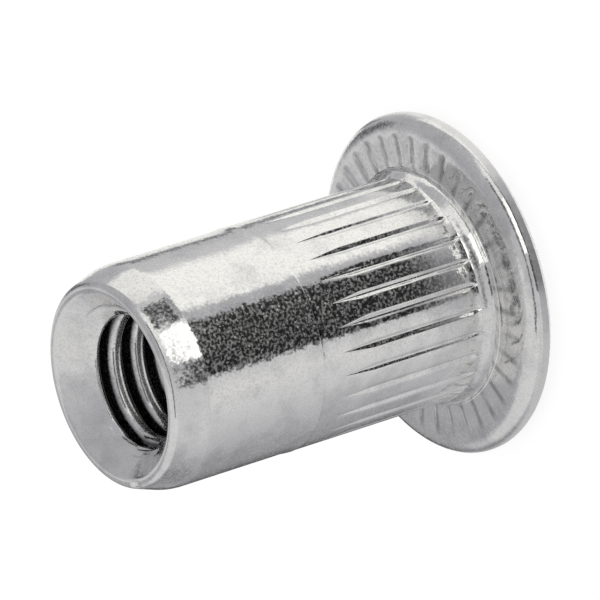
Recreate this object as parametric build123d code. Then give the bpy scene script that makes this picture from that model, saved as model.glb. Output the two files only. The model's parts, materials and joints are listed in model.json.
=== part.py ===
from build123d import *

import math
import os

# Open-end rivet nut for an M4 x 0.7 screw, with a flat serrated flange and a knurled
# cylindrical shank. It stands on the outer face of its flange, with that face at Z = 0,
# the axis on +Z and the threaded end up. All lengths are in millimetres.

# --- Driving dimensions -----------------------------------------------------------------

overall_length = 10.7

# Flange: its two edges are rounded as ellipses, wider along the radius than they are high
flange_diameter = 9.0
flange_thickness = 0.8
face_edge_width = 0.5
face_edge_height = 0.39
bearing_edge_width = 0.42
bearing_edge_height = 0.38
underhead_fillet_radius = 0.45

# Shank: the threaded barrel is a hair slimmer than the knurled, collapsible part
shank_diameter = 5.9
barrel_length = 4.52
barrel_step = 0.015
barrel_step_ramp = 0.03

# Tapered nose of the threaded end
nose_length = 0.86
nose_end_diameter = 5.32
nose_blend_radius = 1.5
lip_chamfer = 0.08

# Thread, drawn plain at its minor diameter, and the countersink that leads into it
thread_minor_diameter = 3.242
thread_length = 4.5
countersink_diameter = 4.86
countersink_half_angle = 45.0

# Thin-walled bore through the collapsible part, from the flange up to the thread
collapse_bore_diameter = 4.6
collapse_bore_chamfer = 0.1
bore_cone_half_angle = 60.0

# Straight knurl: V grooves pressed into the shank, pointed at both ends
groove_count = 29
groove_depth = 0.09
groove_half_angle = 60.0
groove_tip_distance = 5.12
groove_run_in = 0.95
groove_run_out = 0.4

# Serrations pressed radially into the bearing side of the flange
serration_count = 36
serration_depth = 0.07
serration_half_angle = 60.0
serration_run_in = 0.2
serration_start_angle = 6.2

# How far the pressing tools stand clear of the surface that they cut, and how far the
# grooves and serrations end short of the fillet between them
tool_clearance = 0.06
fillet_clearance = 0.03

# --- Sizes that follow from them --------------------------------------------------------

flange_radius = flange_diameter / 2
shank_radius = shank_diameter / 2
barrel_radius = shank_radius - barrel_step
nose_end_radius = nose_end_diameter / 2
nose_taper = (barrel_radius - nose_end_radius) / nose_length
countersink_radius = countersink_diameter / 2
thread_minor_radius = thread_minor_diameter / 2
collapse_bore_radius = collapse_bore_diameter / 2

# The two rounded edges leave a narrow straight rim between them on a thin flange too
edge_height_limit = 0.49 * flange_thickness
face_edge_top = min(face_edge_height, edge_height_limit)
bearing_edge_drop = min(bearing_edge_height, edge_height_limit)

bearing_z = flange_thickness
fillet_top_z = bearing_z + underhead_fillet_radius
fillet_outer_radius = shank_radius + underhead_fillet_radius
barrel_start_z = overall_length - barrel_length
nose_start_z = overall_length - nose_length
thread_start_z = overall_length - thread_length
groove_tip_z = overall_length - groove_tip_distance


def rise_over(run, half_angle):
    """Axial length of a cone of the given half angle that changes its radius by run."""
    return run / math.tan(math.radians(half_angle))


countersink_depth = rise_over(countersink_radius - thread_minor_radius, countersink_half_angle)
bore_cone_depth = rise_over(collapse_bore_radius - thread_minor_radius, bore_cone_half_angle)


# --- Shapes -----------------------------------------------------------------------------


def flange_rim():
    """The flange's outer edge in section: face rounding, straight rim, bearing rounding."""
    face_edge = EllipticalCenterArc(
        (flange_radius - face_edge_width, face_edge_top),
        face_edge_width,
        face_edge_top,
        start_angle=270,
        arc_size=90,
    )
    bearing_edge = EllipticalCenterArc(
        (flange_radius - bearing_edge_width, bearing_z - bearing_edge_drop),
        bearing_edge_width,
        bearing_edge_drop,
        start_angle=0,
        arc_size=90,
    )
    return [face_edge, Line(face_edge @ 1, bearing_edge @ 0), bearing_edge]


def shank_and_bore(start, end):
    """The rest of the section, from the bearing face round the open end to the flange face."""
    corners = [
        (shank_radius, bearing_z, underhead_fillet_radius),
        (shank_radius, barrel_start_z - barrel_step_ramp, 0),
        (barrel_radius, barrel_start_z, 0),
        (barrel_radius, nose_start_z, nose_blend_radius),
        (nose_end_radius + lip_chamfer * nose_taper, overall_length - lip_chamfer, 0),
        (nose_end_radius - lip_chamfer, overall_length, 0),
        (countersink_radius, overall_length, 0),
        (thread_minor_radius, overall_length - countersink_depth, 0),
        (thread_minor_radius, thread_start_z, 0),
        (collapse_bore_radius, thread_start_z - bore_cone_depth, 0),
        (collapse_bore_radius, collapse_bore_chamfer, 0),
        (collapse_bore_radius + collapse_bore_chamfer, 0, 0),
    ]
    points = [start] + [(radius, z) for radius, z, _ in corners] + [end]
    roundings = [rounding for _, _, rounding in corners]
    return FilletPolyline(*points, radius=roundings)


def turned_blank():
    """The plain rivet nut before knurling: one closed section turned about the Z axis."""
    rim = flange_rim()
    inside = shank_and_bore(rim[-1] @ 1, rim[0] @ 0)
    section = Plane.XZ * make_face(rim + [inside])
    return revolve(section, axis=Axis.Z)


def v_section(apex, outward, height, half_angle):
    """A V across the Y axis: its apex, and its open side at the given height above it."""
    half_width = height * math.tan(math.radians(half_angle))
    rim_middle = apex + outward * height
    sideways = Vector(0, half_width, 0)
    return make_face(Polyline(apex, rim_middle + sideways, rim_middle - sideways, close=True))


def knurl_groove_tool():
    """One pressing tooth of the straight knurl, on the +X side of the shank.

    It enters along a slope, which gives the groove its spear-shaped tip, runs at full
    depth, and leaves more steeply where the fillet under the flange begins.
    """
    height = groove_depth + tool_clearance
    slope_share = height / groove_depth
    apex_radius = shank_radius - groove_depth
    open_radius = shank_radius + tool_clearance
    full_top_z = groove_tip_z - groove_run_in
    full_bottom_z = fillet_top_z + fillet_clearance + groove_run_out
    outward = Vector(1, 0, 0)
    return loft(
        [
            Vertex(open_radius, 0, full_top_z + groove_run_in * slope_share),
            v_section(Vector(apex_radius, 0, full_top_z), outward, height, groove_half_angle),
            v_section(Vector(apex_radius, 0, full_bottom_z), outward, height, groove_half_angle),
            Vertex(open_radius, 0, full_bottom_z - groove_run_out * slope_share),
        ],
        ruled=True,
    )


def serration_tool():
    """One radial tooth on the +X side of the bearing face, which runs out over the rim."""
    height = serration_depth + tool_clearance
    slope_share = height / serration_depth
    apex_z = bearing_z - serration_depth
    full_radius = fillet_outer_radius + fillet_clearance + serration_run_in
    end_radius = flange_radius + tool_clearance
    upward = Vector(0, 0, 1)
    return loft(
        [
            Vertex(full_radius - serration_run_in * slope_share, 0, bearing_z + tool_clearance),
            v_section(Vector(full_radius, 0, apex_z), upward, height, serration_half_angle),
            v_section(Vector(end_radius, 0, apex_z), upward, height, serration_half_angle),
        ],
        ruled=True,
    )


def ring_of(tool, count, start_angle=0.0):
    """Copies of a tool, evenly spaced round the Z axis."""
    return [Rot(0, 0, start_angle + index * 360 / count) * tool for index in range(count)]


def rivet_nut():
    """The finished rivet nut as one solid."""
    grooves = ring_of(knurl_groove_tool(), groove_count)
    serrations = ring_of(serration_tool(), serration_count, serration_start_angle)
    return turned_blank() - grooves - serrations


os.makedirs("parts", exist_ok=True)
export_step(rivet_nut(), "parts/rivet_nut.step")
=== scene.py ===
import json
import math
import random

import bpy
from mathutils import Matrix, Vector


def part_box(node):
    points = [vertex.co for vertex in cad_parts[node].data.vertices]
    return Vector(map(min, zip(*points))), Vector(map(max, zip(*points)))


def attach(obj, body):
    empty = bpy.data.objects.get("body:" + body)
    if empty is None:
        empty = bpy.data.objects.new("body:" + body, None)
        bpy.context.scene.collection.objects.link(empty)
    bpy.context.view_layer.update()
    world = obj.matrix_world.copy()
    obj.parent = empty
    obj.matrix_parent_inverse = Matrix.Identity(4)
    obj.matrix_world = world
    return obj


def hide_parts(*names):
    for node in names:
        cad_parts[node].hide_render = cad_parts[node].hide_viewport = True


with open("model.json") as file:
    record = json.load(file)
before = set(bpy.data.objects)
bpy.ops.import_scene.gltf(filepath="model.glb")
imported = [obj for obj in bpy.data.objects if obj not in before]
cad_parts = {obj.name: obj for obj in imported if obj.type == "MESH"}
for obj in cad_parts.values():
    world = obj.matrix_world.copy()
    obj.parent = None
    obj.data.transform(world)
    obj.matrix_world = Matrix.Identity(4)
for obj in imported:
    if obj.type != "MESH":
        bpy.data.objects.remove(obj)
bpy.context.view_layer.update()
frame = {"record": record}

# The looks of an M4 open-end rivet nut, which stands on its flange with the threaded end
# up. Lengths are in millimetres until a mesh or a material is made, and azimuths and other
# angles are in degrees unless a function says that it takes radians.

NODE = "rivet_nut"
MM = 0.001

# --- Sizes from the frame -----------------------------------------------------------------

mount_sizes = {mount["name"]: mount["dims"] for mount in frame["record"]["mounts"]}
box_low, box_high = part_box(NODE)

overall_length = box_high[2] / MM
flange_radius = (box_high[0] - box_low[0]) / 2 / MM
shank_radius = mount_sizes["shank"]["r_mm"]
thread_minor_radius = mount_sizes["thread"]["r_mm"]
collapse_bore_radius = mount_sizes["collapse_bore"]["r_mm"]

# --- Sizes that the frame doesn't name ----------------------------------------------------

# The flange, with elliptical edges: the fuller the bearing edge, the squarer it is
flange_thickness = 0.8
face_edge_width = 0.5
face_edge_height = 0.39
bearing_edge_width = 0.6
bearing_edge_height = 0.365
bearing_edge_fullness = 2.2

# The bead that the knurling and the serrations have pushed up between them
bead_foot_radius = 3.13
bead_top_z = 1.22
bead_bow = 0.06
bead_bow_power = 0.7
bead_wobble = 0.014

# The plain barrel: a hair slimmer than the knurled part, from which a fine ridge parts it
barrel_length = 4.52
barrel_step = 0.015
barrel_ridge = 0.008
barrel_ridge_rise = 0.035
barrel_ridge_fall = 0.3

# The tapered nose and the rounded lip
nose_length = 0.86
nose_end_radius = 2.66
nose_blend_radius = 1.5
lip_radius = 0.2

# The M4 thread, its countersink, and the thin-walled bore below it
thread_pitch = 0.7
thread_major_radius = 1.99
thread_length = 4.5
thread_crest_z = 9.881
countersink_radius = 2.43
countersink_half_angle = 45.0
bore_cone_half_angle = 60.0
bore_corner_radius = 0.05
bore_edge_radius = 0.1

# How far below the lip the thread's rows begin, and how far past its length they run
thread_top_gap = 0.01
thread_overrun = 0.3

# A small nick in the lip
nick_azimuth = 171.0
nick_half_angle = 3.6
nick_radius = 2.56
nick_half_width = 0.09
nick_depth = 0.09

# Torn metal where the tap has entered
torn_azimuth = 163.0
torn_half_angle = 52.0
torn_z = 9.9
torn_half_height = 0.42
torn_height = 0.04

# The straight knurl's grooves, which end in a sloping tip. The power sharpens their section.
groove_count = 29
groove_depth = 0.064
groove_half_width = 0.128
groove_power = 1.15
groove_tip_distance = 5.12
groove_tip_z = overall_length - groove_tip_distance
groove_run_in = 0.95
groove_end_z = 1.12
groove_run_out = 0.3

# The band of plain metal above the tips, in which the grooves' columns end
groove_tip_margin = 0.12

# How unevenly deep they are, and how fast that changes from groove to groove and along one
groove_unevenness = 0.14
groove_stride = 2.4
groove_drift = 26.6

# The flange's radial serrations, soft pleats whose width is a share of their spacing. They
# lean to one side, where they are deeper, wider and reach further out, and are worn nearly
# flat on a part of the other side.
serration_count = 36
serration_start_angle = 6.2
serration_depth = 0.044
serration_power = 1.8
serration_width_share = 0.55
serration_width_change = 0.22
serration_start_radius = 3.12
serration_run_in = 0.16
serration_end_radius = 3.99
serration_run_out = 0.26
serration_shift = 0.12
serration_shift_azimuth = 20.0
serration_lean = 0.38
serration_worn_azimuth = -122.0
serration_worn_half_angle = 62.0
serration_worn_share = 0.92

# --- Mesh density -------------------------------------------------------------------------

# Columns across a groove, on the land between two grooves, and across a serration
GROOVE_COLUMNS = 10
LAND_COLUMNS = 3
SERRATION_COLUMNS = 10

# Columns round the plain barrel and round the bore
BARREL_COLUMNS = 240
BORE_COLUMNS = 192

# Rows on the flange: its face, the face's edge, the bearing edge and the bearing face
FACE_ROWS = 4
FACE_EDGE_ROWS = 12
BEARING_EDGE_ROWS = 24
BEARING_FACE_ROWS = 14

# Rows on the shank: the bead, the grooves, their tips, the margin above those, the ridge up
# and down, the barrel, the nose's blend and its taper, and the lip
BEAD_ROWS = 16
GROOVE_ROWS = 14
GROOVE_TIP_ROWS = 24
MARGIN_ROWS = 4
RIDGE_ROWS = 4
RIDGE_FALL_ROWS = 8
BARREL_ROWS = 8
NOSE_BLEND_ROWS = 12
TAPER_ROWS = 5
LIP_ROWS = 16

# Rows in the bore below the thread: its corner, its wall and its edge
BORE_CORNER_ROWS = 4
BORE_WALL_ROWS = 12
BORE_EDGE_ROWS = 5

# One turn of the thread, from crest to crest: (share of the pitch, share of the depth)
THREAD_FORM = (
    (0.0, 0.0),
    (0.043, 0.007),
    (0.086, 0.032),
    (0.13, 0.073),
    (0.171, 0.13),
    (0.214, 0.203),
    (0.257, 0.3),
    (0.34, 0.54),
    (0.42, 0.85),
    (0.455, 0.97),
    (0.485, 1.0),
    (0.515, 1.0),
    (0.545, 0.97),
    (0.58, 0.85),
    (0.66, 0.54),
    (0.743, 0.3),
    (0.786, 0.203),
    (0.829, 0.13),
    (0.87, 0.073),
    (0.914, 0.032),
    (0.957, 0.007),
)

# Unevenness round the nut, the same on every run
dice = random.Random(7)
UNEVENNESS = [dice.uniform(-1, 1) for _ in range(76)]
TORN = [[dice.uniform(-1, 1) for _ in range(9)] for _ in range(15)]


# --- Sections -----------------------------------------------------------------------------


def ellipse(centre, across, along, start, end, steps):
    """Points on an arc of an ellipse in the section plane, both ends included."""
    points = []
    for step in range(steps + 1):
        angle = math.radians(start + (end - start) * step / steps)
        shift = across * math.cos(angle), along * math.sin(angle)
        points.append((centre[0] + shift[0], centre[1] + shift[1]))
    return points


def rounded(before, corner, after, radius, steps):
    """The corner of a section, rounded by an arc tangent to both its sides."""
    corner, before, after = Vector(corner), Vector(before), Vector(after)
    back = (before - corner).normalized()
    ahead = (after - corner).normalized()
    half = back.angle(ahead) / 2
    centre = corner + (back + ahead).normalized() * radius / math.sin(half)
    start = corner + back * radius / math.tan(half) - centre
    end = corner + ahead * radius / math.tan(half) - centre
    sweep = start.angle(end)
    points = []
    for step in range(steps + 1):
        turn = sweep * step / steps
        share_a = math.sin(sweep - turn) / math.sin(sweep)
        share_b = math.sin(turn) / math.sin(sweep)
        points.append(tuple(centre + start * share_a + end * share_b))
    return points


def straight(start, end, steps):
    """Points between two places in the section, the ends left out."""
    shares = [step / steps for step in range(1, steps)]
    return [tuple(a + (b - a) * share for a, b in zip(start, end)) for share in shares]


def smooth_step(low, high, value):
    """0 below low, 1 above high, and a smooth change between them."""
    share = min(max((value - low) / (high - low), 0.0), 1.0)
    return share * share * (3 - 2 * share)


def fading(core, off, half_width):
    """1 within the core, a share of the half width, and a smooth fall to 0 at its end."""
    return 1 - smooth_step(core, 1.0, abs(off) / half_width)


def turned_from(middle, azimuth):
    """An azimuth's angle in degrees from another one, between -180 and 180."""
    return (azimuth - middle + 180) % 360 - 180


def raised_cosine(share, power):
    """1 in the middle and 0 where the share is -1 or 1: the section of a pressed groove."""
    return (0.5 + 0.5 * math.cos(math.pi * share)) ** power


# --- A mesh made of rings -----------------------------------------------------------------


class RingMesh:
    """Vertices and faces, added ring by ring round the Z axis."""

    def __init__(self):
        self.vertices = []
        self.faces = []

    def ring(self, places):
        """Adds vertices at (azimuth in radians, radius, z), returns [(index, azimuth)]."""
        made = []
        for azimuth, radius, z in places:
            made.append((len(self.vertices), azimuth))
            self.vertices.append((radius * math.cos(azimuth), radius * math.sin(azimuth), z))
        return made

    def face(self, corners):
        """Adds a face, or a triangle where two neighbouring corners are one vertex."""
        kept = [c for i, c in enumerate(corners) if c != corners[i - 1]]
        if len(kept) > 2:
            self.faces.append(kept)

    def join(self, low, high):
        """Quads between two rings with the same columns."""
        count = len(low)
        for i in range(count):
            j = (i + 1) % count
            self.face([low[i][0], low[j][0], high[j][0], high[i][0]])

    def zip_up(self, low, high):
        """Triangles between two rings with different columns."""
        turn = 2 * math.pi

        def distance(item):
            return abs((item[1] - low[0][1] + math.pi) % turn - math.pi)

        first = min(range(len(high)), key=lambda k: distance(high[k]))
        high = high[first:] + high[:first]
        start, high_start = low[0][1], high[0][1]
        low_turns = [(azimuth - start) % turn for _, azimuth in low] + [turn]
        offset = (high_start - start + math.pi) % turn - math.pi
        high_turns = [offset + (azimuth - high_start) % turn for _, azimuth in high]
        high_turns.append(offset + turn)
        i = j = 0
        while i < len(low) or j < len(high):
            a, b = low[i % len(low)][0], high[j % len(high)][0]
            low_next = low_turns[i + 1] if i < len(low) else math.inf
            high_next = high_turns[j + 1] if j < len(high) else math.inf
            if low_next <= high_next:
                i += 1
                self.face([a, low[i % len(low)][0], b])
            else:
                j += 1
                self.face([a, high[j % len(high)][0], b])


# --- The flange, with its serrations ------------------------------------------------------


def serration_side(azimuth):
    """1 at the azimuth (in radians) where the serrations are deepest, -1 opposite to it."""
    return math.cos(azimuth - math.radians(serration_shift_azimuth))


def serration_columns():
    """Columns of a ring with serrations: [(azimuth in radians, share of their depth)]."""
    period = 2 * math.pi / serration_count
    columns = []
    for index in range(serration_count):
        middle = math.radians(serration_start_angle) + index * period
        width_share = serration_width_share + serration_width_change * serration_side(middle)
        half_width = width_share * period / 2
        for step in range(-SERRATION_COLUMNS // 2, SERRATION_COLUMNS // 2 + 1):
            share = 2 * step / SERRATION_COLUMNS
            columns.append(
                (middle + share * half_width, raised_cosine(share, serration_power))
            )
        columns.append((middle + period / 2, 0.0))
    return columns


def flange_section():
    """The flange from the bore's edge out over the rim to the bearing face's inner edge."""
    bore_edge = (collapse_bore_radius + bore_edge_radius, 0.0)
    face_end = flange_radius - face_edge_width
    bearing_end = flange_radius - bearing_edge_width
    points = [bore_edge] + straight(bore_edge, (face_end, 0.0), FACE_ROWS)
    points += ellipse(
        (face_end, face_edge_height), face_edge_width, face_edge_height, -90, 0, FACE_EDGE_ROWS
    )
    for step in range(BEARING_EDGE_ROWS + 1):
        turn = math.radians(90 * step / BEARING_EDGE_ROWS)
        across = math.cos(turn) ** (2 / bearing_edge_fullness)
        along = math.sqrt(max(1 - across**bearing_edge_fullness, 0.0))
        drop = bearing_edge_height * (1 - along)
        points.append((bearing_end + bearing_edge_width * across, flange_thickness - drop))
    inner = (bead_foot_radius, flange_thickness)
    points += straight((bearing_end, flange_thickness), inner, BEARING_FACE_ROWS)
    return points + [inner]


def serration_depth_at(azimuth, radius, z):
    """How deep the serrations are at a point of the bearing side, the azimuth in radians."""
    if z < flange_thickness - bearing_edge_height:
        return 0.0
    side = serration_side(azimuth)
    run_in = smooth_step(0.0, 1.0, (radius - serration_start_radius) / serration_run_in)
    end_radius = serration_end_radius + serration_shift * side
    run_out = smooth_step(0.0, 1.0, (end_radius - radius) / serration_run_out)
    off = turned_from(serration_worn_azimuth, math.degrees(azimuth))
    worn = serration_worn_share * fading(0.55, off, serration_worn_half_angle)
    full = serration_depth * (1 - serration_lean + serration_lean * side) * (1 - worn)
    return full * run_in * run_out


def add_flange(mesh):
    """Adds the flange's rings and returns the first and the last."""
    columns = serration_columns()
    rings = []
    for radius, z in flange_section():
        places = []
        for azimuth, drop in columns:
            depth = serration_depth_at(azimuth, radius, z) * drop
            places.append((azimuth, radius, z - depth))
        rings.append(mesh.ring(places))
    for low, high in zip(rings, rings[1:]):
        mesh.join(low, high)
    return rings[0], rings[-1]


# --- The shank, with its knurl, barrel and nose -------------------------------------------


def lip_corner():
    """Where the nose's taper and the countersink would meet if the lip weren't rounded."""
    taper = (shank_radius - barrel_step - nose_end_radius) / nose_length
    slope = math.tan(math.radians(countersink_half_angle))
    above = (nose_end_radius - countersink_radius) / (slope + taper)
    return (countersink_radius + above * slope, overall_length + above)


def bead_section():
    """The bead, from its foot on the bearing face up to the knurl: a slope that bows out."""
    foot = Vector((bead_foot_radius, flange_thickness))
    top = Vector((shank_radius, bead_top_z))
    outward = Vector((top.y - foot.y, foot.x - top.x)).normalized()
    points = []
    for step in range(1, BEAD_ROWS + 1):
        share = step / BEAD_ROWS
        bow = bead_bow * math.sin(math.pi * share) * (1 - share) ** bead_bow_power
        points.append(tuple(foot + (top - foot) * share + outward * bow))
    return points


def ridge_section(start_z):
    """The fine ridge from the knurled part up to the slimmer barrel."""
    points = []
    for step in range(RIDGE_ROWS + 1):
        share = step / RIDGE_ROWS
        radius = shank_radius + barrel_ridge * smooth_step(0.0, 1.0, share)
        points.append((radius, start_z + barrel_ridge_rise * share))
    crest, crest_z = points[-1]
    for step in range(1, RIDGE_FALL_ROWS + 1):
        share = step / RIDGE_FALL_ROWS
        drop = (barrel_ridge + barrel_step) * smooth_step(0.0, 1.0, share)
        points.append((crest - drop, crest_z + barrel_ridge_fall * share))
    return points


def shank_section():
    """The shank from the bead up to the countersink, as (radius, z)."""
    barrel_radius = shank_radius - barrel_step
    barrel_start = overall_length - barrel_length
    barrel_base = (barrel_radius, barrel_start + barrel_ridge_rise + barrel_ridge_fall)
    nose_start = (barrel_radius, overall_length - nose_length)
    corner = lip_corner()
    sink_rise = 1 / math.tan(math.radians(countersink_half_angle))
    sink_side = (corner[0] - 1.0, corner[1] - sink_rise)

    points = bead_section()
    tip_base = (shank_radius, groove_tip_z - groove_run_in)
    tip_end = (shank_radius, groove_tip_z + groove_tip_margin)
    points += straight((shank_radius, bead_top_z), tip_base, GROOVE_ROWS)
    points += [tip_base] + straight(tip_base, tip_end, GROOVE_TIP_ROWS) + [tip_end]
    points += straight(tip_end, (shank_radius, barrel_start), MARGIN_ROWS)
    points += ridge_section(barrel_start)
    blend = rounded(barrel_base, nose_start, corner, nose_blend_radius, NOSE_BLEND_ROWS)
    points += straight(barrel_base, blend[0], BARREL_ROWS) + blend
    lip = rounded(nose_start, corner, sink_side, lip_radius, LIP_ROWS)
    points += straight(blend[-1], lip[0], TAPER_ROWS) + lip
    return points


def groove_depth_at(z):
    """The knurl grooves' depth: a sloping tip at the top and a soft run-out at the bead."""
    run_in = min(max((groove_tip_z - z) / groove_run_in, 0.0), 1.0)
    return groove_depth * run_in * smooth_step(groove_end_z, groove_end_z + groove_run_out, z)


def groove_columns(radius, depth_share):
    """Columns of a ring with grooves: [(azimuth in radians, share of the depth)]."""
    narrowest = 0.04
    half_width = groove_half_width / radius * max(depth_share, narrowest)
    period = 2 * math.pi / groove_count
    land = period - 2 * half_width
    columns = []
    for index in range(groove_count):
        middle = index * period
        for step in range(-GROOVE_COLUMNS // 2, GROOVE_COLUMNS // 2 + 1):
            share = 2 * step / GROOVE_COLUMNS
            columns.append((middle + share * half_width, raised_cosine(share, groove_power)))
        for step in range(1, LAND_COLUMNS + 1):
            columns.append((middle + half_width + land * step / (LAND_COLUMNS + 1), 0.0))
    return columns


def wobble(azimuth):
    """An uneven value from -1 to 1 that changes round the nut, the azimuth in radians."""
    knots = len(UNEVENNESS)
    place = azimuth / (2 * math.pi) * knots % knots
    index = int(place)
    share = smooth_step(0.0, 1.0, place - index)
    low, high = UNEVENNESS[index % knots], UNEVENNESS[(index + 1) % knots]
    return low + (high - low) * share


def knurled_ring(mesh, radius, z):
    """A ring of the knurled part, with its uneven grooves and the bead's unevenness."""
    depth = groove_depth_at(z)
    on_bead = (bead_top_z - z) / (bead_top_z - flange_thickness)
    swell = bead_wobble * math.sin(math.pi * min(max(on_bead, 0), 1))
    place_along = groove_drift * z / overall_length
    places = []
    for azimuth, drop in groove_columns(radius, depth / groove_depth):
        groove = round(azimuth / (2 * math.pi) * groove_count)
        pressed = 1 + groove_unevenness * wobble(groove * groove_stride + place_along)
        out = swell * wobble(azimuth)
        places.append((azimuth, radius - depth * drop * pressed + out, z))
    return mesh.ring(places)


def nick_depth_at(azimuth, radius):
    """The depth of the small nick that a knock has left in the lip."""
    across = fading(0.6, turned_from(nick_azimuth, azimuth), nick_half_angle)
    return nick_depth * across * fading(0.5, radius - nick_radius, nick_half_width)


def plain_ring(mesh, radius, z):
    """A ring of the barrel, the nose or the lip."""
    places = []
    for column in range(BARREL_COLUMNS):
        azimuth = 2 * math.pi * column / BARREL_COLUMNS
        nick = 0.0
        if z >= overall_length - lip_radius:
            nick = nick_depth_at(math.degrees(azimuth), radius)
        places.append((azimuth, radius, z - nick))
    return mesh.ring(places)


def add_shank(mesh):
    """Adds the shank's rings and returns the first and the last."""
    knurl_top = groove_tip_z + groove_tip_margin / 2
    section = shank_section()
    knurled = [knurled_ring(mesh, radius, z) for radius, z in section if z < knurl_top]
    plain = [plain_ring(mesh, radius, z) for radius, z in section if z >= knurl_top]
    for rings in (knurled, plain):
        for low, high in zip(rings, rings[1:]):
            mesh.join(low, high)
    mesh.zip_up(knurled[-1], plain[0])
    return knurled[0], plain[-1]


# --- The bore, with its thread ------------------------------------------------------------


def soft_max(a, b, softness):
    """The larger of two values, with a rounded change from one to the other."""
    return (a + b + math.sqrt((a - b) ** 2 + softness**2)) / 2


def torn_at(azimuth, z):
    """How torn the metal is where the tap has entered, from -1 to 1: streaks along it."""
    off = turned_from(torn_azimuth, azimuth)
    strength = fading(0.5, off, torn_half_angle) * fading(0.5, z - torn_z, torn_half_height)
    if strength == 0:
        return 0.0
    row = (z - torn_z + torn_half_height) / (2 * torn_half_height) * (len(TORN) - 1)
    column = (off + torn_half_angle) / (2 * torn_half_angle) * (len(TORN[0]) - 1)
    i, j = int(row), int(column)
    up, right = smooth_step(0.0, 1.0, row - i), smooth_step(0.0, 1.0, column - j)
    low = TORN[i][j] + (TORN[i][j + 1] - TORN[i][j]) * right
    high = TORN[i + 1][j] + (TORN[i + 1][j + 1] - TORN[i + 1][j]) * right
    return (low + (high - low) * up) * strength


def add_thread(mesh, top_z, base_z):
    """Adds the helical rows from top_z down to base_z and returns the rings at both ends.

    A row follows the helix, so that one turn on it has sunk by one pitch. Rows are cut off
    level at both ends.
    """
    depth = thread_major_radius - thread_minor_radius
    thread_start = overall_length - thread_length
    sink_slope = math.tan(math.radians(countersink_half_angle))
    cone_slope = math.tan(math.radians(bore_cone_half_angle))
    edge_softness = 0.02

    def radius_at(azimuth, z, share):
        threaded = thread_minor_radius + depth * share
        sink = countersink_radius - (overall_length - z) * sink_slope
        cone = thread_minor_radius + (thread_start - z) * cone_slope
        smooth = soft_max(soft_max(threaded, sink, edge_softness), cone, edge_softness)
        return smooth + torn_height * torn_at(math.degrees(azimuth), z)

    azimuths = [2 * math.pi * j / BORE_COLUMNS for j in range(BORE_COLUMNS)]
    top = mesh.ring([(a, radius_at(a, top_z, 0.0), top_z) for a in azimuths])
    base = mesh.ring([(a, radius_at(a, base_z, 0.0), base_z) for a in azimuths])
    per_turn = len(THREAD_FORM)
    turns_above = math.ceil((top_z - thread_crest_z) / thread_pitch)
    turns_below = math.ceil((thread_crest_z - base_z) / thread_pitch) + 1
    rows = range(-turns_above * per_turn, turns_below * per_turn + 1)
    made = {}

    def vertex(row, column):
        if column == BORE_COLUMNS:
            row, column = row - per_turn, 0
        turn, step = divmod(row, per_turn)
        drop, share = THREAD_FORM[step]
        z = thread_crest_z - (turn + drop - column / BORE_COLUMNS) * thread_pitch
        if z >= top_z:
            return top[column][0]
        if z <= base_z:
            return base[column][0]
        if (row, column) not in made:
            azimuth = azimuths[column]
            made[row, column] = mesh.ring([(azimuth, radius_at(azimuth, z, share), z)])[0][0]
        return made[row, column]

    for row in rows:
        for column in range(BORE_COLUMNS):
            upper = [vertex(row, column), vertex(row, column + 1)]
            lower = [vertex(row + 1, column + 1), vertex(row + 1, column)]
            mesh.face(upper + lower)
    return top, base


def add_collapse_bore(mesh, first):
    """Adds the thin-walled bore below the thread, down to the flange's face."""
    cone_start = (thread_minor_radius, overall_length - thread_length)
    cone_run = collapse_bore_radius - thread_minor_radius
    cone_height = cone_run / math.tan(math.radians(bore_cone_half_angle))
    corner = (collapse_bore_radius, cone_start[1] - cone_height)
    mouth = (collapse_bore_radius, 0.0)
    edge = (collapse_bore_radius, bore_edge_radius)
    edge_centre = (collapse_bore_radius + bore_edge_radius, bore_edge_radius)
    points = rounded(cone_start, corner, mouth, bore_corner_radius, BORE_CORNER_ROWS)
    points += straight(points[-1], edge, BORE_WALL_ROWS)
    round_edge = (edge_centre, bore_edge_radius, bore_edge_radius)
    points += ellipse(*round_edge, 180, 270, BORE_EDGE_ROWS)[:-1]
    last = first
    for radius, z in points:
        ring = mesh.ring([(azimuth, radius, z) for _, azimuth in first])
        mesh.join(last, ring)
        last = ring
    return last


def make_nut():
    """The whole nut as one closed mesh."""
    mesh = RingMesh()
    flange_first, flange_last = add_flange(mesh)
    shank_first, shank_last = add_shank(mesh)
    mesh.zip_up(flange_last, shank_first)
    thread_top_z = mesh.vertices[shank_last[0][0]][2] - thread_top_gap
    thread_base_z = overall_length - thread_length - thread_overrun
    thread_top, thread_base = add_thread(mesh, thread_top_z, thread_base_z)
    mesh.zip_up(shank_last, thread_top)
    bore_last = add_collapse_bore(mesh, thread_base)
    mesh.zip_up(bore_last, flange_first)

    name = NODE + "_detailed"
    data = bpy.data.meshes.new(name)
    data.from_pydata([tuple(c * MM for c in v) for v in mesh.vertices], [], mesh.faces)
    data.polygons.foreach_set("use_smooth", [True] * len(data.polygons))
    data.update()
    nut = bpy.data.objects.new(name, data)
    bpy.context.scene.collection.objects.link(nut)
    return nut


# --- Materials ----------------------------------------------------------------------------

# Colours: clean and stained plating, and painted shade for the thread's roots and for dark
# lines
CLEAN_ZINC = (0.81, 0.81, 0.8, 1.0)
STAINED_ZINC = (0.66, 0.66, 0.66, 1.0)
PAINTED_ROOT_SHADE = (0.1, 0.1, 0.105, 1.0)
PAINTED_SHADE = (0.12, 0.12, 0.125, 1.0)

# Roughness of the clear mirror and of the dull grain laid over it
clear_roughness = 0.1
dull_roughness = 0.6

# Patterns over the surface: noise scales, per metre, and the depth of the broad waves
stain_scale = 1300.0
shade_patch_scale = 1700.0
grain_scale = 13000.0
flake_scale = 22000.0
wave_scale = 1100.0
wave_depth = 0.02
lean_scale = 12000.0

# How far the grain makes the normal lean at most, as a share of its length
grain_lean = 0.05

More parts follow.
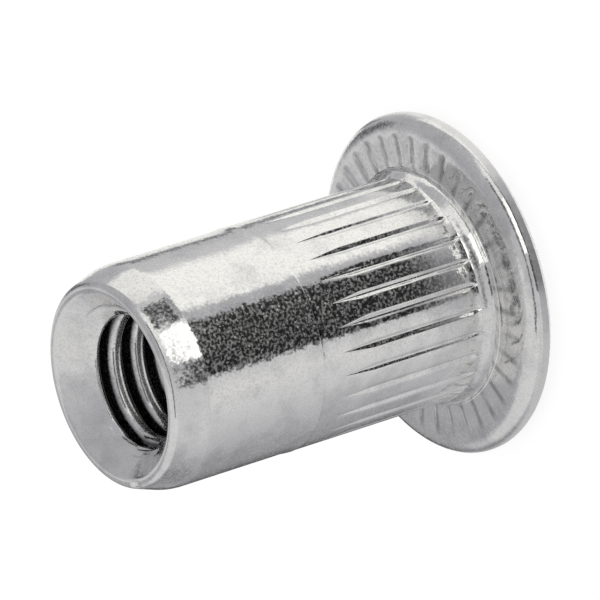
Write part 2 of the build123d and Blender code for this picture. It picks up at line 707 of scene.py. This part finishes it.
# The largest share of dull metal in the grain, how rare a flake is, and its own dull share
grain_dullness = 0.48
flake_threshold = 0.985
flake_dullness = 0.5

# Noise values between which the plating is stained and the grain dulls, and the painted shade
# along the serrations and the painted dark reflection on the shank show
stained_noise = (0.48, 0.72)
dulled_noise = (0.44, 0.68)
serration_shade_noise = (0.3, 0.55)
dark_reflection_noise = (0.3, 0.45)

# Painted shade darkens the thread, and also stands for its duller plating there: from the first
# to the second depth, below the countersink's surface and beyond the minor radius, and no
# further out than a little beyond the major radius
sink_darkening = (0.02, 0.12)
root_darkening = (0.07, 0.16)
root_margin = 0.1

# Painted shade: a thin dark line along each serration, its half width a share of their spacing
# and its full core a share of that. The radii and the heights from the bearing face are those
# at which it starts and is full.
serration_shade_strength = 0.5
serration_shade_half_width = 0.2
serration_shade_core = 0.25
serration_shade_inner_radii = (3.1, 3.2)
serration_shade_outer_radii = (4.05, 3.8)
serration_shade_lower_heights = (-0.35, -0.2)
serration_shade_upper_heights = (0.08, 0.04)

# A painted dark reflection: a line round a part of the shank, where the slimmer barrel begins
dark_reflection_start = -109.0
dark_reflection_end = -88.0
dark_reflection_end_run = 4.0
dark_reflection_z = 6.17
dark_reflection_half_width = 0.02
dark_reflection_soft_half_width = 0.035
dark_reflection_radii = (shank_radius - 0.3, shank_radius - 0.2)


class Nodes:
    """A short way to write node trees."""

    def __init__(self, tree):
        self.tree = tree
        tree.nodes.clear()

    def add(self, kind, settings=None, **inputs):
        """Adds a node with its settings, and sets or links the inputs that are named."""
        node = self.tree.nodes.new(kind)
        for name, value in (settings or {}).items():
            setattr(node, name, value)
        for name, value in inputs.items():
            self.feed(node.inputs[name.replace("_", " ")], value)
        return node

    def feed(self, socket, value):
        """Links another node's output to the socket, or sets a plain value on it."""
        if isinstance(value, bpy.types.NodeSocket):
            self.tree.links.new(value, socket)
        else:
            socket.default_value = value

    def filled(self, kind, settings, values):
        """Adds a node with its inputs filled in order, and returns its first output."""
        node = self.add(kind, settings)
        for socket, value in zip(node.inputs, values):
            self.feed(socket, value)
        return node.outputs[0]

    def math(self, operation, *values):
        """The result of one operation on sockets or plain numbers."""
        return self.filled("ShaderNodeMath", {"operation": operation}, values)

    def vector(self, operation, *values):
        """The same for vectors."""
        return self.filled("ShaderNodeVectorMath", {"operation": operation}, values)

    def product(self, *factors):
        """All the factors, multiplied."""
        total = factors[0]
        for factor in factors[1:]:
            total = self.math("MULTIPLY", total, factor)
        return total

    def ramp(self, value, start, end, highest=1.0):
        """A straight change from 0 at the start to the highest value at the end."""
        names = {"From_Min": start, "From_Max": end, "To_Max": highest}
        return self.add("ShaderNodeMapRange", Value=value, **names).outputs["Result"]

    def size_ramp(self, size, span, origin=0.0):
        """The same over a size in metres, between two lengths beyond an origin."""
        return self.ramp(size, *[(origin + length) * MM for length in span])

    def blend(self, share, first, second):
        """A colour between two others."""
        node = self.add("ShaderNodeMix", {"data_type": "RGBA"}, Factor=share)
        self.feed(node.inputs[6], first)
        self.feed(node.inputs[7], second)
        return node.outputs[2]

    def mixed(self, share, first, second):
        """A shader between two others."""
        values = (share, first.outputs[0], second.outputs[0])
        return self.filled("ShaderNodeMixShader", None, values)

    def surface(self, shader, kind="ShaderNodeOutputMaterial"):
        """Makes a shader the tree's result."""
        self.add(kind, Surface=shader)


def new_material(name):
    """An empty material and its nodes."""
    material = bpy.data.materials.new(name)
    material.use_nodes = True
    return material, Nodes(material.node_tree)


def polar(nodes, place):
    """The azimuth in radians, the radius and the height of a place, in metres."""
    x, y, z = nodes.add("ShaderNodeSeparateXYZ", Vector=place).outputs
    squares = nodes.math("ADD", nodes.product(x, x), nodes.product(y, y))
    return nodes.math("ARCTAN2", y, x), nodes.math("POWER", squares, 0.5), z


def thread_root_shade(nodes, place):
    """How much painted shade darkens a place: 0 on the outside, on the countersink and on the
    thread's crests, and 1 in its roots.
    """
    _, radius, z = polar(nodes, place)
    cone = countersink_radius - overall_length
    return nodes.product(
        nodes.size_ramp(nodes.math("SUBTRACT", radius, z), sink_darkening, cone),
        nodes.size_ramp(radius, root_darkening, thread_minor_radius),
        nodes.math("LESS_THAN", radius, (thread_major_radius + root_margin) * MM),
    )


def serration_shade_lines(nodes, place, patches):
    """0 on clean metal, and up to 1 of painted shade along the middle of each serration."""
    azimuth, radius, z = polar(nodes, place)
    turn = nodes.math("MULTIPLY", azimuth, serration_count / (2 * math.pi))
    turn = nodes.math("ADD", turn, 0.5 - serration_start_angle * serration_count / 360)
    aside = nodes.math("ABSOLUTE", nodes.math("SUBTRACT", nodes.math("FRACT", turn), 0.5))
    return nodes.product(
        nodes.ramp(aside, serration_shade_half_width, serration_shade_core * serration_shade_half_width),
        nodes.size_ramp(radius, serration_shade_inner_radii),
        nodes.size_ramp(radius, serration_shade_outer_radii),
        nodes.size_ramp(z, serration_shade_lower_heights, flange_thickness),
        nodes.size_ramp(z, serration_shade_upper_heights, flange_thickness),
        nodes.ramp(patches, *serration_shade_noise),
    )


def painted_dark_reflection(nodes, place, patches):
    """0 beside the painted dark reflection on the shank, and up to 1 in it."""
    azimuth, radius, z = polar(nodes, place)
    start, end = math.radians(dark_reflection_start), math.radians(dark_reflection_end)
    run = math.radians(dark_reflection_end_run)
    inner, outer = dark_reflection_half_width, dark_reflection_soft_half_width
    return nodes.product(
        nodes.ramp(azimuth, start - run, start),
        nodes.ramp(azimuth, end + run, end),
        nodes.size_ramp(z, (-outer, -inner), dark_reflection_z),
        nodes.size_ramp(z, (outer, inner), dark_reflection_z),
        nodes.size_ramp(radius, dark_reflection_radii),
        nodes.ramp(patches, *dark_reflection_noise),
    )


def plating_colour(nodes, place):
    """The plating's colour, with stains, painted shade in the serrations and the thread's
    roots, and a painted dark reflection on the shank.
    """
    stains = nodes.add(
        "ShaderNodeTexNoise", Vector=place, Scale=stain_scale, Detail=4.0, Roughness=0.6
    )
    patches = nodes.add("ShaderNodeTexNoise", Vector=place, Scale=shade_patch_scale, Detail=2.0)
    patches = patches.outputs["Fac"]
    in_serrations = nodes.product(serration_shade_lines(nodes, place, patches), serration_shade_strength)
    painted_dark = nodes.math("MAXIMUM", in_serrations, painted_dark_reflection(nodes, place, patches))
    stained = nodes.ramp(stains.outputs["Fac"], *stained_noise)
    colour = nodes.blend(stained, CLEAN_ZINC, STAINED_ZINC)
    # Painted shade along the serrations and the painted dark reflection on the shank
    colour = nodes.blend(painted_dark, colour, PAINTED_SHADE)
    # Painted shade in the thread's roots
    return nodes.blend(thread_root_shade(nodes, place), colour, PAINTED_ROOT_SHADE)


def grain_share(nodes, place):
    """How dull the plating is from spot to spot: a mottled grain with a few dull flakes."""
    grain = nodes.add(
        "ShaderNodeTexNoise", Vector=place, Scale=grain_scale, Detail=1.5, Roughness=0.5
    )
    mottle = nodes.ramp(grain.outputs["Fac"], *dulled_noise, grain_dullness)
    flakes = nodes.add("ShaderNodeTexVoronoi", Vector=place, Scale=flake_scale)
    chance = nodes.add("ShaderNodeSeparateColor", Color=flakes.outputs["Color"])
    flake = nodes.math("GREATER_THAN", chance.outputs["Red"], flake_threshold)
    return nodes.math("MULTIPLY_ADD", flake, flake_dullness, mottle)


def uneven_normal(nodes, place):
    """A normal that wavers a little, both broadly and from grain to grain."""
    waves = nodes.add("ShaderNodeTexNoise", Vector=place, Scale=wave_scale, Detail=2.0)
    broad = nodes.add(
        "ShaderNodeBump", Height=waves.outputs["Fac"], Strength=1.0, Distance=wave_depth * MM
    )
    fine = nodes.add("ShaderNodeTexNoise", Vector=place, Scale=lean_scale, Detail=1.0)
    span, offset = (2 * grain_lean,) * 3, (-grain_lean,) * 3
    lean = nodes.vector("MULTIPLY_ADD", fine.outputs["Color"], span, offset)
    return nodes.vector("NORMALIZE", nodes.vector("ADD", broad.outputs["Normal"], lean))


def zinc_plate():
    """Bright zinc plating: a clear mirror under a thin dull grain, with painted shade in the
    thread.
    """
    material, nodes = new_material("zinc_plated_steel")
    place = nodes.add("ShaderNodeTexCoord").outputs["Object"]
    colour = plating_colour(nodes, place)
    normal = uneven_normal(nodes, place)
    clear = nodes.add("ShaderNodeBsdfPrincipled", Metallic=1.0, Roughness=clear_roughness)
    dull = nodes.add("ShaderNodeBsdfPrincipled", Metallic=1.0, Roughness=dull_roughness)
    for shader in (clear, dull):
        nodes.feed(shader.inputs["Base Color"], colour)
        nodes.feed(shader.inputs["Normal"], normal)
    nodes.surface(nodes.mixed(grain_share(nodes, place), clear, dull))
    return material


# --- Studio -------------------------------------------------------------------------------

# The camera: where it stands and what it looks at, its roll, and its lens on its sensor
camera_azimuth = -92.71
camera_elevation = 32.925
camera_roll = -107.495
camera_distance = 238.263
camera_target = (0.621, -0.1253, 4.602)
camera_lens = 564.27
camera_sensor_width = 36.0
camera_clip_start = 10.0
camera_clip_end = 10000.0


def toward(azimuth, elevation):
    """The unit vector in that direction."""
    a, e = math.radians(azimuth), math.radians(elevation)
    return Vector((math.cos(a) * math.cos(e), math.sin(a) * math.cos(e), math.sin(e)))


def make_camera():
    """A long lens that looks down on the open end, rolled so that the axis lies slantwise."""
    camera = bpy.data.objects.new("camera", bpy.data.cameras.new("camera"))
    bpy.context.scene.collection.objects.link(camera)
    back = toward(camera_azimuth, camera_elevation)
    look = back.to_track_quat("Z", "Y").to_matrix().to_4x4()
    roll = Matrix.Rotation(math.radians(camera_roll), 4, "Z")
    place = (Vector(camera_target) + back * camera_distance) * MM
    camera.matrix_world = Matrix.Translation(place) @ look @ roll
    camera.data.lens = camera_lens
    camera.data.sensor_width = camera_sensor_width
    camera.data.clip_start = camera_clip_start * MM
    camera.data.clip_end = camera_clip_end * MM
    bpy.context.scene.camera = camera


# Tones that the studio shows to the metal, where 1 is white. On the table they change with
# the angle on the shank, from the side that faces the camera, at which the shank mirrors
# them: negative toward +X and positive toward -X.
TABLE_TONES = (
    (-90.0, 1.0),
    (-76.5, 0.95),
    (-74.0, 0.22),
    (-71.0, 0.22),
    (-69.0, 0.55),
    (-56.0, 0.64),
    (-51.0, 1.09),
    (-26.0, 1.09),
    (-23.5, 0.5),
    (-19.0, 0.45),
    (-17.5, 0.02),
    (10.0, 0.015),
    (11.5, 0.69),
    (20.0, 0.79),
    (36.0, 0.66),
    (60.0, 0.39),
    (72.0, 0.3),
    (82.0, 0.1),
    (90.0, 0.08),
)

# The same for the inner edge of the table's cards, which only the flange's rim mirrors
CARD_EDGE_TONES = (
    (-90.0, 1.0),
    (-30.0, 0.85),
    (-22.0, 0.7),
    (-15.0, 0.46),
    (-10.0, 0.34),
    (0.0, 0.24),
    (7.0, 0.24),
    (12.0, 0.45),
    (25.0, 0.6),
    (90.0, 0.6),
)


def between(stops, place):
    """The value of a list of (place, value) stops, linear between them."""
    if place <= stops[0][0]:
        return stops[0][1]
    for (low, low_value), (high, high_value) in zip(stops, stops[1:]):
        if place <= high:
            return low_value + (high_value - low_value) * (place - low) / (high - low)
    return stops[-1][1]


# Tints of the studio's dark and bright surfaces
COOL = (0.988, 0.977, 1.026, 1.0)
WARM = (1.005, 0.997, 0.965, 1.0)


def emissive(name):
    """A material that glows with the mesh's tone, cool where it is dark, warm where bright."""
    material, nodes = new_material(name)
    tone = nodes.add("ShaderNodeAttribute", {"attribute_name": "tone"}).outputs["Fac"]
    tint = nodes.blend(nodes.ramp(tone, 0.45, 1.0), COOL, WARM)
    glow = nodes.add("ShaderNodeEmission", Color=tint, Strength=tone)
    nodes.surface(glow.outputs["Emission"])
    return material


def grid_object(name, rows, tones):
    """A sheet through rows of points, with a tone at each point, seen only in reflections."""
    columns = len(rows[0])
    faces = []
    for i in range(len(rows) - 1):
        for j in range(columns - 1):
            a = i * columns + j
            faces.append((a, a + 1, a + columns + 1, a + columns))
    data = bpy.data.meshes.new(name)
    data.from_pydata([tuple(c * MM for c in p) for row in rows for p in row], [], faces)
    tone = data.attributes.new("tone", "FLOAT", "POINT")
    tone.data.foreach_set("value", [t for row in tones for t in row])
    data.materials.append(emissive(name))
    sheet = bpy.data.objects.new(name, data)
    bpy.context.scene.collection.objects.link(sheet)
    sheet.visible_camera = False
    sheet.visible_diffuse = False
    sheet.visible_shadow = False
    sheet.visible_transmission = False
    return sheet


def make_table_cards():
    """Toned cards on the table, laid out fanwise as the shank mirrors them.

    A ray that meets the shank at a height comes down at that height times the reach, so
    the cards run from where the shank's lowest reflections end to beyond the highest.
    """
    lowest, highest, lift = 1.0, 15.2, 0.02
    steps, edge_start, edge_end = 28, 1, 4
    fan_step = 0.5
    reach = 1 / math.tan(math.radians(camera_elevation))
    heights = [lowest + (highest - lowest) * k / steps for k in range(steps + 1)]
    rows, tones = [], []
    for step in range(round(180 / fan_step) + 1):
        angle = -90 + step * fan_step
        start = toward(camera_azimuth - angle, 0.0) * shank_radius
        along = toward(camera_azimuth - 2 * angle, 0.0) * reach
        rows.append([tuple((start + along * height).xy) + (lift,) for height in heights])
        tone, edge = between(TABLE_TONES, angle), between(CARD_EDGE_TONES, angle)
        shares = [smooth_step(edge_start, edge_end, k) for k in range(steps + 1)]
        tones.append([edge + (tone - edge) * share for share in shares])
    grid_object("table_cards", rows, tones)


# A bright screen that stands near the nut: its distance from the axis, its foot and top,
# and its tone by azimuth from the camera
SCREEN_DISTANCE = 24.0
SCREEN_FOOT = 0.03
SCREEN_HEIGHT = 11.7
SCREEN_TONES = ((-0.5, 0.06), (1.5, 1.6), (33.0, 1.65), (35.5, 0.5))


def make_screen():
    """The near screen, bent round the nut."""
    low, high = SCREEN_TONES[0][0], SCREEN_TONES[-1][0]
    columns = 72
    azimuths = [low + (high - low) * k / columns for k in range(columns + 1)]
    rows, tones = [], []
    for height in (SCREEN_FOOT, SCREEN_HEIGHT):
        ring = [toward(camera_azimuth + azimuth, 0.0) * SCREEN_DISTANCE for azimuth in azimuths]
        rows.append([(p.x, p.y, height) for p in ring])
        tones.append([between(SCREEN_TONES, azimuth) for azimuth in azimuths])
    grid_object("near_screen", rows, tones)


# The tent's tone by azimuth from the camera, low down and high up, and the elevations
# between which it changes
TENT_LOW_TONES = (
    (-180.0, 0.46),
    (-172.0, 0.4),
    (-158.0, 0.4),
    (-145.0, 0.71),
    (-60.0, 0.78),
    (-35.0, 0.66),
    (-18.0, 0.6),
    (-8.0, 0.56),
    (2.0, 0.56),
    (12.0, 0.75),
    (20.0, 0.98),
    (62.0, 0.95),
    (72.0, 0.5),
    (100.0, 0.46),
    (122.0, 0.46),
    (150.0, 0.48),
    (160.0, 0.6),
    (166.0, 0.7),
    (173.0, 0.7),
    (180.0, 0.46),
)
TENT_HIGH_TONES = (
    (-180.0, 0.68),
    (-120.0, 0.75),
    (-50.0, 0.74),
    (-20.0, 0.58),
    (10.0, 0.56),
    (60.0, 0.48),
    (140.0, 0.42),
    (160.0, 0.5),
    (180.0, 0.68),
)
TENT_CHANGE = (34.0, 48.0)

# How far the tent's wall is from the nut, by azimuth from the camera
TENT_RADII = (
    (-180.0, 60.0),
    (-48.0, 60.0),
    (-34.0, 300.0),
    (76.0, 300.0),
    (92.0, 60.0),
    (180.0, 60.0),
)

# Panels in the tent: azimuth from the camera, elevation, half width, half height,
# softness of the edge, and tone
TENT_PANELS = (
    (0.0, 38.5, 58.0, 7.0, 4.0, 0.14),
    (150.0, 0.0, 9.0, 20.0, 6.0, 0.12),
    (-75.0, -12.0, 65.0, 14.0, 8.0, 0.52),
    (-52.0, -12.0, 32.0, 14.0, 14.0, 0.7),
    (-137.0, -12.0, 30.0, 14.0, 16.0, 0.26),
    (130.0, -12.0, 20.0, 14.0, 6.0, 0.5),
    (52.0, -6.0, 14.0, 8.0, 1.5, 0.06),
    (52.0, -19.0, 14.0, 5.0, 3.0, 0.34),
    (-12.0, -13.0, 11.0, 16.0, 1.2, 0.06),
    (94.0, -12.0, 22.0, 13.0, 3.0, 0.98),
)


def tent_tone(azimuth, elevation):
    """The tent's tone in a direction, with each panel laid over those before it."""
    rise = smooth_step(*TENT_CHANGE, elevation)
    low, high = between(TENT_LOW_TONES, azimuth), between(TENT_HIGH_TONES, azimuth)
    tone = low + (high - low) * rise
    for centre, middle, half_width, half_height, soft, panel in TENT_PANELS:
        off = turned_from(centre, azimuth)
        across = 1 - smooth_step(half_width - soft, half_width + soft, abs(off))
        along = 1 - smooth_step(half_height - soft, half_height + soft, abs(elevation - middle))
        tone += (panel - tone) * across * along
    return tone


def make_tent():
    """A tent of toned cloth round the nut, whose panels shape the reflections.

    Its directions are seen from the nose. Where they would pass below the table, the cloth
    lies on it instead.
    """
    middle = Vector((0.0, 0.0, overall_length - nose_length / 2))
    lift = 0.05
    lowest, highest, bands = -23.5, 90.0, 114
    azimuths = [column - 180.0 for column in range(361)]
    rows, tones = [], []
    for band in range(bands + 1):
        elevation = lowest + (highest - lowest) * band / bands
        row = []
        for azimuth in azimuths:
            radius = between(TENT_RADII, azimuth)
            point = middle + toward(camera_azimuth + azimuth, elevation) * radius
            if point.z < lift:
                point = middle + (point - middle) * (middle.z - lift) / (middle.z - point.z)
            row.append(tuple(point))
        rows.append(row)
        tones.append([tent_tone(azimuth, elevation) for azimuth in azimuths])
    grid_object("light_tent", rows, tones)


# The table top: its half size, how far it lies below the flange, its colour, and how much
# and how brightly it shows as white
FLOOR_REACH = 400.0
FLOOR_DROP = 0.02
FLOOR_COLOUR = (0.9, 0.9, 0.9, 1.0)
FLOOR_WHITE_SHARE = 0.75
FLOOR_WHITE = 1.08


def white_table():
    """Matte white, which shows as white and still keeps a shadow."""
    material, nodes = new_material("white_table")
    rays = nodes.add("ShaderNodeLightPath").outputs
    seen = nodes.math("MAXIMUM", rays["Is Camera Ray"], rays["Is Glossy Ray"])
    seen = nodes.math("MAXIMUM", seen, rays["Is Transmission Ray"])
    matte = nodes.add("ShaderNodeBsdfDiffuse", Color=FLOOR_COLOUR)
    white = nodes.add("ShaderNodeEmission", Strength=FLOOR_WHITE)
    nodes.surface(nodes.mixed(nodes.product(seen, FLOOR_WHITE_SHARE), matte, white))
    return material


def make_floor():
    """A white table top under the nut."""
    r, z = FLOOR_REACH, -FLOOR_DROP
    corners = [(-r, -r, z), (r, -r, z), (r, r, z), (-r, r, z)]
    data = bpy.data.meshes.new("floor")
    data.from_pydata([tuple(c * MM for c in p) for p in corners], [], [(0, 1, 2, 3)])
    data.materials.append(white_table())
    floor = bpy.data.objects.new("floor", data)
    bpy.context.scene.collection.objects.link(floor)


def make_world():
    """An even white surrounding at a plain level."""
    world = bpy.data.worlds.new("studio")
    bpy.context.scene.world = world
    world.use_nodes = True
    nodes = Nodes(world.node_tree)
    background = nodes.add("ShaderNodeBackground", Color=(1.0, 1.0, 1.0, 1.0), Strength=1.0)
    nodes.surface(background.outputs[0], "ShaderNodeOutputWorld")


def main():
    nut = make_nut()
    nut.data.materials.append(zinc_plate())
    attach(nut, "root")
    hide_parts(NODE)
    make_camera()
    make_world()
    make_floor()
    make_table_cards()
    make_screen()
    make_tent()
    bpy.context.scene.view_settings.view_transform = "Standard"
    bpy.context.view_layer.update()


main()
